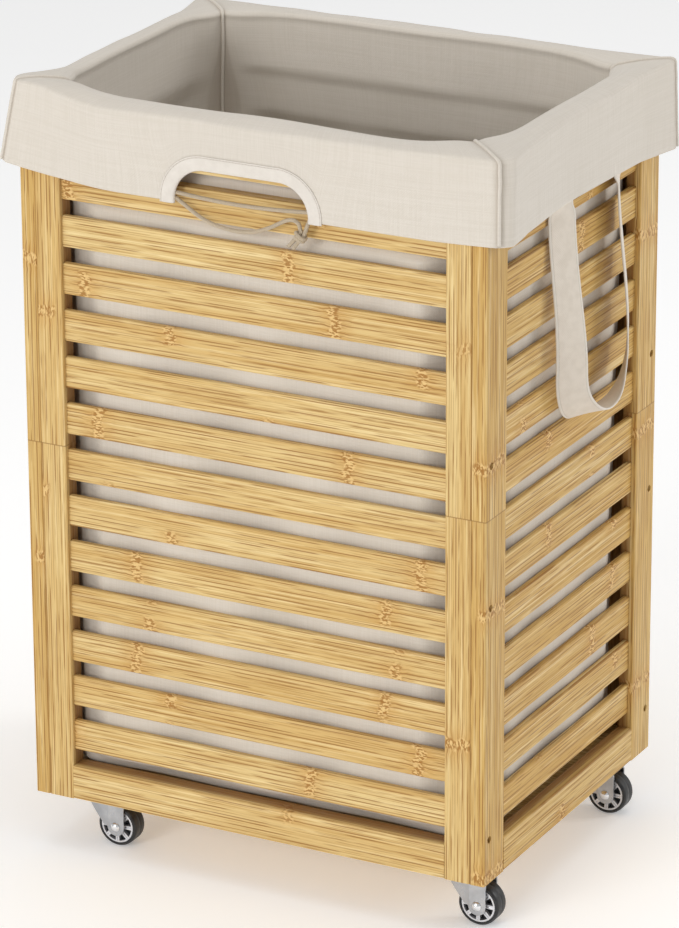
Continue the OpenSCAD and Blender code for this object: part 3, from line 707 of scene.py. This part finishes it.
def loop_columns(counts, arc):
    """The columns round the bag, anticlockwise from the front left corner: for each one the
    corner-circle's middle as shares of the half width and half depth, the outward direction,
    and the side it lies on. A corner between two sides is a quarter circle of arc steps."""
    share, out, side = [], [], []
    for k, n in enumerate(counts):
        first, last = corner_signs[k], corner_signs[(k + 1) % 4]
        even = np.linspace(0, 1, n)
        s = (0.45 * even + 0.55 * (1 - np.cos(math.pi * even)) / 2)[:, None]
        facing = math.radians(90 * k - 90)
        angle = facing + math.pi / 2 * np.arange(1, arc) / arc
        share.append(np.vstack([first + (last - first) * s, np.repeat([last], arc - 1, 0)]))
        out.append(np.vstack([np.repeat([(math.cos(facing), math.sin(facing))], n, 0),
                              np.stack([np.cos(angle), np.sin(angle)], 1)]))
        side.append(np.full(n + arc - 1, k))
    return np.vstack(share), np.vstack(out), np.concatenate(side)


def ripple(u, v, seed, lengths, count=7):
    """Soft waves over a cloth, about -1 to 1: a sum of cosines with random directions and
    phases. lengths are the shortest and longest wave along u, and those along v."""
    draw = np.random.default_rng(seed)
    total = 0
    for _ in range(count):
        ku, kv = 2 * math.pi / draw.uniform(*lengths[:2]), 2 * math.pi / draw.uniform(*lengths[2:])
        total = total + np.cos(ku * u + draw.choice((-1, 1)) * kv * v + draw.uniform(0, 6.3))
    return total / math.sqrt(count) / 1.2


counts, arc_steps = (112, 74, 112, 74), 6
share, out, side = loop_columns(counts, arc_steps)
base_x = share[:, 0] * (half_w + cuff_out - corner_r) + out[:, 0] * corner_r
base_y = share[:, 1] * (half_d + cuff_out - corner_r) + out[:, 1] * corner_r
around = np.concatenate([[0], np.cumsum(np.hypot(np.diff(base_x), np.diff(base_y)))])
full_round = around[-1] + math.hypot(base_x[0] - base_x[-1], base_y[0] - base_y[-1])
corner_distance = np.stack([np.hypot(base_x - sx * (half_w + cuff_out), base_y - sy * (half_d + cuff_out))
                            for sx, sy in corner_signs])

# How the cuff stands at each corner: outward along X and Y at its top and at its hem, the
# height of its inner and of its outer edge, and the lift of its hem with its reach.
corner_shape = MM * np.array([
    # top x, hem x, top y, hem y, inner up, outer up, hem up, hem reach
    (-8.0, 8.0, 1.0, 2.5, 4.0, 13.0, 13.0, 100.0),
    (8.5, 8.5, 1.0, 1.0, 1.0, 4.0, 3.0, 60.0),
    (4.0, 8.0, 3.0, 4.0, -3.5, 0.5, -8.0, 220.0),
    (14.0, 9.0, 5.0, 4.0, -2.5, -2.0, 3.0, 100.0)])[:, :, None]
drawn_in = np.exp(-((corner_distance / (42 * MM)) ** 2)) * 13 * MM
draw_x = (corner_signs[:, :1] * drawn_in).sum(0)
draw_y = (corner_signs[:, 1:] * drawn_in).sum(0)
near = np.clip(1 - corner_distance / (58 * MM), 0, 1)
near = np.where(near < 0.12, near**2 / 0.24, near - 0.06)
top_push_x, hem_push_x = ((corner_signs[:, :1] * corner_shape[:, k] * near).sum(0) for k in (0, 1))
top_push_y, hem_push_y = ((corner_signs[:, 1:] * corner_shape[:, k] * near).sum(0) for k in (2, 3))
swell = np.clip(1 - (corner_distance / (92 * MM)) ** 2, 0, 1) ** 2
crest_up, fold_up = ((corner_shape[:, k] * swell).sum(0) for k in (4, 5))
lift = (corner_shape[:, 6] * np.clip(1 - corner_distance / corner_shape[:, 7], 0, 1) ** 1.5).sum(0)

# On the two ends the loose cloth stands out again just behind the front corners
behind_front = base_y + half_d + cuff_out
stand = smooth(behind_front, 0, 14 * MM) * (np.abs(out[:, 0]) > 0.99)
fullness = np.where(side == 1, 9 * MM * stand * (1 - smooth(behind_front, 14 * MM, 160 * MM)),
                    -5 * MM * stand * (1 - smooth(behind_front, 12 * MM, 90 * MM)) * (side == 3))

# Hand opening: the hem runs up round an arch, at the front and, turned round, at the back.
arch_mid, arch_half, arch_h, arch_r = -4 * MM, 64 * MM, 31 * MM, 29 * MM
arch_path = (arch_h - arch_r) + math.pi / 2 * arch_r + (arch_half - arch_r)
arch_reach = 78 * MM


def arch_point(s):
    """Place on the arch at a signed length s from its top: flat, then a quarter circle, then
    straight down to the hem. Gives x from its middle, height over the hem and the outward
    direction there."""
    flat, bend = arch_half - arch_r, math.pi / 2 * arch_r
    a = np.clip((np.abs(s) - flat) / bend, 0, 1) * math.pi / 2
    foot = np.clip(np.abs(s) - flat - bend, 0, None)
    x = np.minimum(np.abs(s), flat) + arch_r * np.sin(a)
    return np.sign(s) * x, arch_h - arch_r + arch_r * np.cos(a) - foot, np.sign(s) * np.sin(a), np.cos(a)


turned = np.where(side == 2, -1.0, 1.0)            # the back is the front turned round
on_long_side = (side % 2 == 0) & (np.abs(np.abs(out[:, 1]) - 1) < 1e-9)
from_arch = np.where(on_long_side, base_x * turned - arch_mid, 1.0)
inside_arch = np.abs(from_arch) <= arch_reach
arch_x, arch_z, _, _ = arch_point(from_arch / arch_reach * arch_path)
beyond = np.interp(np.abs(from_arch), (arch_reach, 135 * MM), (arch_half, 135 * MM))
hem_x = np.where(np.abs(from_arch) < 135 * MM, np.sign(from_arch) * beyond, from_arch)
hem_x = np.where(inside_arch, arch_x, hem_x)
hem_shift_x = (hem_x - from_arch) * turned * on_long_side
hem_rise = np.where(inside_arch, np.clip(arch_z, 0, None), 0.0) + lift
calm = 1 - np.exp(-((from_arch / (100 * MM)) ** 4)) * on_long_side
tunnel = np.where(inside_arch, 0.22, 1.0)

# Rows: up the inside, over the rim, down the outside and round the hem.
nominal_w = 25 * MM
rise = np.linspace(0, math.pi / 2, 6)
cross = np.linspace(0, 1, 7)[1:-1]
fall = np.linspace(0, math.pi / 2, 8)
inner_r, outer_r = 4.5 * MM, 3.2 * MM
top_w = np.concatenate([inner_r * (1 - np.cos(rise)) / nominal_w,
                        inner_r / nominal_w + (1 - (inner_r + outer_r) / nominal_w) * cross,
                        1 - outer_r * (1 - np.sin(fall)) / nominal_w])[:, None]
top_drop = np.concatenate([inner_r * (1 - np.sin(rise)), -1.2 * MM * np.sin(math.pi * cross),
                           outer_r * (1 - np.cos(fall))])[:, None]
inner_x, outer_x = half_w - side_t - 1.8 * MM, half_w + cuff_out
inner_y, outer_y = half_d - front_t - 1.8 * MM, half_d + cuff_out
crest = rim_z + 5.8 * MM + 1.2 * MM * ripple(around, 0, 5, (0.16, 0.4, 1, 2))
fold = rim_z + 2.4 * MM + 0.8 * MM * ripple(around, 0, 6, (0.12, 0.3, 1, 2))
crest, fold = crest + crest_up, fold + fold_up

# the walls: from the floor up to the crest, pulled in from the corners and slack between them
wall_s = np.concatenate([np.linspace(0, 0.045, 8), np.linspace(0.045, 0.83, 28)[1:],
                         np.linspace(0.83, 0.93, 16)[1:], np.linspace(0.93, 1, 9)[1:]])[:, None]
wall_rows = len(wall_s)
wall_bottom = liner_floor_z + 1.2 * MM
wall_top = crest - inner_r
wall_z = wall_bottom + (wall_top - wall_bottom) * wall_s
free = 1 - smooth(wall_z, rim_z - 95 * MM, rim_z - 12 * MM)
foot = 1 - smooth(wall_z, wall_bottom, wall_bottom + 9 * MM)
wall_r = corner_r + 15 * MM * free
pull_x = 5.5 * MM + 3 * MM * ripple(around, 0.6 * wall_z, 21, (0.12, 0.5, 0.3, 1.2))
pull_y = 3.6 * MM + 2.4 * MM * ripple(around, 0.6 * wall_z, 22, (0.12, 0.5, 0.3, 1.2))
pull_x, pull_y = (pull * free + 8 * MM * foot**2 for pull in (pull_x, pull_y))
wave = 1.6 * MM * ripple(around, wall_z, 23, (0.09, 0.3, 0.5, 1.6)) * free * (1 - foot)
wall_x = share[:, 0] * (inner_x - pull_x - wall_r) + out[:, 0] * (wall_r + wave)
wall_y = share[:, 1] * (inner_y - pull_y - wall_r) + out[:, 1] * (wall_r + wave)
wall_x, wall_y = wall_x - draw_x * (1 - free), wall_y - draw_y * (1 - free)
# between the stiles and the rails of each panel the cloth is pressed out against its slats
from_rail = smooth(wall_z, 84 * MM, 96 * MM)
below_grip = from_rail * (1 - smooth(wall_z, rim_z - 96 * MM, rim_z - 87 * MM))
behind_grip = smooth(wall_z, rim_z - 98 * MM, rim_z - 88 * MM)
behind_grip = behind_grip * (1 - smooth(wall_z, rim_z - 54 * MM, rim_z - 47 * MM))
below_rail = smooth(wall_z, 98 * MM, 130 * MM) * (1 - smooth(wall_z, rim_z - 74 * MM, rim_z - 50 * MM))
slack = 1.3 * MM * (1 + ripple(around, wall_z, 24, (0.06, 0.3, 0.1, 0.6)))
between_stiles = (np.abs(out[:, 1]) > 0.99) * (1 - smooth(np.abs(wall_x), 150 * MM, 181 * MM))
open_x = between_stiles * below_grip
wall_y = wall_y + between_stiles * behind_grip * (out[:, 1] * (half_d - 18 * MM) - wall_y)
open_y = (np.abs(out[:, 0]) > 0.99) * (1 - smooth(np.abs(wall_y), 92 * MM, 129 * MM)) * below_rail
wall_y = wall_y + open_x * (out[:, 1] * (half_d - 11.6 * MM - slack) - wall_y)
wall_x = wall_x + open_y * (out[:, 0] * (half_w - 11.3 * MM - 0.7 * slack) - wall_x)

top_x = inner_x + (outer_x - inner_x) * top_w
top_y = inner_y + (outer_y - inner_y) * top_w
puff = 0.9 * MM * ripple(around, 40 * top_w * MM, 31, (0.05, 0.14, 0.06, 0.2)) * top_w * (1 - 0.6 * top_w)
kept_in = 1 - smooth(top_w, 0.0, 0.95)
over_x = (share[:, 0] * (top_x - corner_r) + out[:, 0] * corner_r
          + (top_push_x + fullness) * top_w**2 - draw_x * kept_in)
over_y = (share[:, 1] * (top_y - corner_r) + out[:, 1] * corner_r
          + top_push_y * top_w**2 - draw_y * kept_in)
over_z = crest + (fold - crest) * top_w - top_drop + puff

skirt_s = np.linspace(0, 1, 26)[1:, None]
hem_level = hem_z + hem_turn + hem_rise
skirt_z = (fold - outer_r) + (hem_level - fold + outer_r) * skirt_s
close_to_corner = np.exp(-((corner_distance.min(0) / (120 * MM)) ** 2))
crease = np.exp(-((skirt_s / 0.3) ** 2)) * (0.35 + 0.65 * close_to_corner)
bulge = (0.7 * MM * ripple(around, 0.074 * skirt_s, 41, (0.12, 0.5, 0.15, 0.5))
         * np.sin(math.pi * skirt_s * 0.5)
         + 0.9 * MM * crease * ripple(around, 0.074 * skirt_s, 42, (0.09, 0.3, 0.02, 0.05)))
bulge = bulge * calm * np.sin(math.pi * np.clip(skirt_s * 3, 0, 1) / 2)
skirt_x = (base_x + hem_shift_x * smooth(skirt_s, 0.0, 1.0) + fullness + out[:, 0] * bulge
           + top_push_x + (hem_push_x - top_push_x) * skirt_s)
skirt_y = base_y + top_push_y + (hem_push_y - top_push_y) * skirt_s + out[:, 1] * bulge

turn_a = np.linspace(0, math.pi, 7)[1:, None]
turn_r = hem_turn * tunnel
last_x, last_y = skirt_x[-1], skirt_y[-1]
turn_x = last_x - out[:, 0] * turn_r * (1 - np.cos(turn_a))
turn_y = last_y - out[:, 1] * turn_r * (1 - np.cos(turn_a))
turn_z = hem_level - turn_r * np.sin(turn_a)
up_s = np.linspace(0, 1, 6)[1:, None]
up_x, up_y = turn_x[-1] + 0 * up_s, turn_y[-1] + 0 * up_s
up_z = hem_level + 18 * MM * up_s * tunnel**2

skin = np.stack([np.vstack([wall_x, over_x, skirt_x, turn_x, up_x]),
                 np.vstack([wall_y, over_y, skirt_y, turn_y, up_y]),
                 np.vstack([wall_z, over_z, skirt_z, turn_z, up_z])], -1)
down_skin = np.concatenate([[0], np.cumsum(np.linalg.norm(np.diff(skin[:, 20], axis=0), axis=1))])
skin_uv = np.stack(np.broadcast_arrays(np.append(around, full_round), down_skin[:, None]), -1)
liner = surface("liner_walls_and_cuff", skin, skin_uv, round_columns=True)
arc_columns = [sum(counts[:k + 1]) + k * (arc_steps - 1) + arc_steps // 2 - 1 for k in range(4)]
# a band along each corner seam, which the canvas paints as a shadow line
from_seam = np.min([np.abs(around - around[c]) for c in arc_columns], 0)
seam_shadow = np.broadcast_to(np.exp(-((from_seam / (3.2 * MM)) ** 2)), skin.shape[:2]).astype(np.float32)
liner.data.attributes.new("seam_shadow", "FLOAT", "POINT").data.foreach_set("value", seam_shadow.ravel())
make_cloth(liner)
liner.data.materials.append(liner_canvas)
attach(liner, "liner")
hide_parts("liner_long_walls", "liner_end_walls", "cuff_front", "cuff_back", "cuff_left",
            "cuff_right")

# The floor of the bag: laid on the bottom board, a little puckered along its seam.
shrink = np.linspace(1, 0.03, 40)[:, None]
edge_x, edge_y = skin[0, :, 0], skin[0, :, 1]
floor_x, floor_y = edge_x * shrink, edge_y * shrink
pucker = 1.5 * MM * (1 + ripple(floor_x, floor_y, 51, (0.05, 0.2, 0.05, 0.2)))
pucker = pucker * smooth(shrink, 0.25, 0.8) * (1 - smooth(shrink, 0.93, 1.0))
floor_points = np.stack([floor_x, floor_y, wall_bottom + 0.2 * MM + pucker], -1)
floor_uv = np.concatenate([floor_points, floor_points[:, :1]], 1)[..., :2]
bag_floor = surface("liner_floor", floor_points, floor_uv, round_columns=True)
make_cloth(bag_floor)
bag_floor.data.materials.append(liner_canvas)
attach(bag_floor, "liner")
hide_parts("liner_bottom")

# ---------------------------------------------------------------------------------------
# Corner piping. A folded strip is sewn into the seam at each corner of the cuff and stands a
# little proud of it, from inside the bag over the rim and down to the hem.

piping_parts = []
for k, column in enumerate(arc_columns):
    rows = slice(wall_rows - 22, wall_rows + len(over_x) + len(skirt_x))
    line = skin[rows, column]
    outward = np.array([*corner_signs[(k + 1) % 4] / math.sqrt(2), 0])
    rise_share = smooth(np.arange(len(line)), 16, 34)[:, None]
    over_rim = np.exp(-((np.arange(len(line)) - 27) / 6.0) ** 2)
    line = line + 1.3 * MM * (2 * rise_share - 1) * outward + np.outer(over_rim, (0, 0, 1.1 * MM))
    piping_parts.append(tube(f"piping_{k}", curve_through(line, 2.2 * MM), 1.5 * MM, 10))
piping = joined("corner_piping", piping_parts)
paint(piping, liner_canvas)
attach(piping, "liner")

# ---------------------------------------------------------------------------------------
# Binding of the hand openings. A white cotton tape is folded over the raw edge of the arch
# and sewn down along its outer edge.

binding_canvas, t, shader = finish_material("binding_cotton", Roughness=0.9, Sheen_Weight=0.2)
uv = add(t, "UVMap")
u, v = (add(t, "SeparateXYZ", uv, output=k) for k in range(2))
twill = maths(t, "SINE", times(t, plus(t, u, v), 5200.0))
stitch_line_and_shadow = ramp(t, absolute(t, minus(t, v, 11.3 * MM)), 0.2 * MM, 0.7 * MM, 1.0, 0.0)
dash = ramp(t, maths(t, "FRACT", maths(t, "DIVIDE", u, 3.0 * MM)), 0.68, 0.8, 1.0, 0.0)
stitch = times(t, stitch_line_and_shadow, dash)
place = add(t, "TexCoord", output=3)
cloud = add(t, "TexNoise", Vector=place, Scale=140.0, Detail=3.0)
tone = mix(t, ramp(t, cloud, 0.3, 0.75), (0.765, 0.71, 0.64), (0.72, 0.665, 0.595))
# painted shadow: a brown line along the stitched groove near the tape's outer edge
tone = mix(t, times(t, stitch_line_and_shadow, 0.6), tone, (0.36, 0.29, 0.21))
tone = mix(t, times(t, stitch, 0.25), tone, (0.80, 0.76, 0.70))
height = plus(t, times(t, twill, 0.12), minus(t, stitch, stitch_line_and_shadow))
coat(t, shader, tone, height=height, strength=0.5, depth=0.0006)

s = np.linspace(-arch_path - 1.2 * MM, arch_path + 1.2 * MM, 150)
x, z, nx, nz = arch_point(s)
section = MM * np.array([
    (8.5, 2.6), (4, 2.9), (0.6, 2.9), (-0.7, 2.3), (-1.2, 1.0), (-0.9, -0.4), (0.2, -1.3),
    (3, -1.6), (6, -1.7), (9, -1.6), (10.2, -1.45), (10.6, -1.25), (11, -1.4), (11.7, -1.45),
    (12.1, -1.1), (11.9, -0.7), (6, -0.9), (0.8, -0.6), (-0.1, 0), (-0.4, 1), (0, 1.8),
    (0.8, 2.2), (8.4, 2.1)])
w, depth = section[:, 0][:, None], section[:, 1][:, None]
band = np.stack([arch_mid + x + nx * w, -(half_d + cuff_out) + depth + 0 * x, hem_z + z + nz * w], -1)
length_across = np.maximum(section[:, 0], 0)
band_uv = np.stack(np.broadcast_arrays(s - s[0], np.append(length_across, length_across[0])[:, None]), -1)
for end, place_on in (("front", lambda p: p), ("back", turned_half)):
    binding = surface(f"{end}_arch_binding", place_on(band).transpose(1, 0, 2)[:, ::-1],
                      band_uv.transpose(1, 0, 2)[:, ::-1], round_columns=True, capped=True)
    binding.data.materials.append(binding_canvas)
    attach(binding, "liner")
    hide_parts(f"{end}_binding")

# ---------------------------------------------------------------------------------------
# Straps. Each side has one loop of flat cotton tape, sewn inside the cuff. Its legs hang a
# little turned, so that it can lie flat through the bend at its lowest point.

strap_cotton, t, shader = finish_material("strap_cotton", Roughness=0.9, Sheen_Weight=0.2)
uv = add(t, "UVMap")
u, v = (add(t, "SeparateXYZ", uv, output=k) for k in range(2))
from_edge = minus(t, 15 * MM, absolute(t, u))
chevron = maths(t, "SINE", times(t, plus(t, v, absolute(t, u)), 4200.0))
from_seam = absolute(t, minus(t, from_edge, 2.3 * MM))
sewn = ramp(t, from_seam, 0.2 * MM, 0.6 * MM, 1.0, 0.0)
dash = ramp(t, maths(t, "FRACT", maths(t, "DIVIDE", v, 3.2 * MM)), 0.68, 0.8, 1.0, 0.0)
place = add(t, "TexCoord", output=3)
cloud = add(t, "TexNoise", Vector=place, Scale=120.0, Detail=3.0)
tone = mix(t, ramp(t, cloud, 0.3, 0.75), (0.80, 0.72, 0.62), (0.74, 0.66, 0.56))
tone = mix(t, ramp(t, from_edge, 1.2 * MM, 3.0 * MM, 0.7, 0.0), tone, (0.80, 0.75, 0.67))
tone = mix(t, times(t, sewn, 0.3), tone, (0.45, 0.38, 0.29))
sunk = times(t, times(t, sewn, dash), -0.8)
height = plus(t, times(t, chevron, 0.2), sunk)
coat(t, shader, tone, height=height, strength=0.45, depth=0.0005)

hinge_x, strap_mid_y, leg_gap, bottom_z, top_z = 223.5 * MM, 20 * MM, 56 * MM, 426 * MM, 630 * MM
bend_h = 47 * MM
leg = np.linspace(top_z, bottom_z + bend_h, 60)
bend = np.linspace(0, math.pi, 62)[1:-1]
bend_y = -leg_gap * np.sign(np.cos(bend)) * np.abs(np.cos(bend)) ** 0.86
line_y = np.concatenate([0 * leg - leg_gap, bend_y, 0 * leg + leg_gap])
line_z = np.concatenate([leg, bottom_z + bend_h - bend_h * np.sin(bend) ** 0.86, leg[::-1]])
run = np.concatenate([[0], np.cumsum(np.hypot(np.diff(line_y), np.diff(line_z)))])
share_along = run / run[-1]
hang = np.clip((617 * MM - line_z) / (617 * MM - bottom_z), 0, 1)
line_x = hinge_x + 11 * MM * smooth(hang, 0, 0.75)
middle_line = np.stack([line_x, strap_mid_y + line_y, line_z], 1)
heading = unit(np.gradient(middle_line, axis=0))
inward = unit(np.cross((1.0, 0, 0), heading))
lying = 24 + 50 * np.exp(-(((share_along - 0.49) / 0.085) ** 2))
lying = np.radians(lying + 13 * np.exp(-(((share_along - 0.33) / 0.1) ** 2)))
lying = lying * smooth(hang, -0.037, 0.04)
across = np.sin(lying)[:, None] * np.array((1.0, 0, 0)) + np.cos(lying)[:, None] * inward
across = unit(across - heading * (across * heading).sum(1, keepdims=True))
facing = np.cross(heading, across)
flat_half, thick_half = 15 * MM, 0.8 * MM
edge_turn = np.linspace(-math.pi / 2, math.pi / 2, 6)
side_1 = np.stack([flat_half - thick_half + thick_half * np.cos(edge_turn),
                   thick_half * np.sin(edge_turn)], 1)
flat_run = np.linspace(0.94, -0.94, 9)[1:-1, None] * (flat_half - thick_half)
rim = np.vstack([side_1, np.hstack([flat_run, 0 * flat_run + thick_half]), -side_1,
                 np.hstack([-flat_run, 0 * flat_run - thick_half])])
sheet_points = middle_line[:, None] + rim[:, :1] * across[:, None] + rim[:, 1:] * facing[:, None]
rim_uv = np.vstack([rim, rim[:1]])[:, 0]
sheet_uv = np.stack(np.broadcast_arrays(rim_uv[None, :], run[:, None]), -1)
for side_name, sign in (("right", 1), ("left", -1)):
    points, uv_points = sheet_points * (sign, 1, 1), sheet_uv
    if sign < 0:
        points, uv_points = points[:, ::-1], uv_points[:, ::-1]
    strap = surface(f"{side_name}_strap_loop", points, uv_points, round_columns=True, capped=True)
    strap.data.materials.append(strap_cotton)
    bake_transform(strap)
    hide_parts(f"{side_name}_strap")
